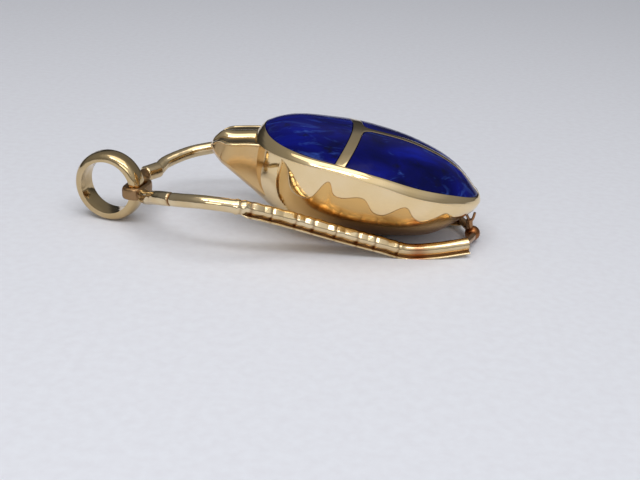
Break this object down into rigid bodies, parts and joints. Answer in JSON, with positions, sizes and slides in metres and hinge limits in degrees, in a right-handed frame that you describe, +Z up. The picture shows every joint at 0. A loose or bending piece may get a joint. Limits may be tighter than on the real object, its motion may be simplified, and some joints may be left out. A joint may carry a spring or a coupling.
{
  "type": "scarab pendant",
  "caption": "Gold scarab beetle pendant with blue stone inlaid shield and wing cases, domed body, wire legs joined into a frame, and a round bail for a chain.",
  "frame": {"origin": "under the middle of the whole pendant, on the surface it lies on", "axes": "+X from the bail towards the tail, +Y towards the beetle's right side, +Z up through the wing cases"},
  "size_m": [0.0424, 0.0196, 0.0119],
  "materials": {
    "body_gold": "mirror polished 18 carat gold",
    "leg_gold": "polished 18 carat gold wire",
    "bail_gold": "polished 18 carat gold band",
    "lapis": "polished lapis lazuli"
  },
  "bodies": {
    "root": {"gold_body": "body_gold", "shield_inlay": "lapis", "left_wing_inlay": "lapis", "right_wing_inlay": "lapis", "leg_frame": "leg_gold", "bail_ring": "bail_gold"}
  },
  "joints": []
}
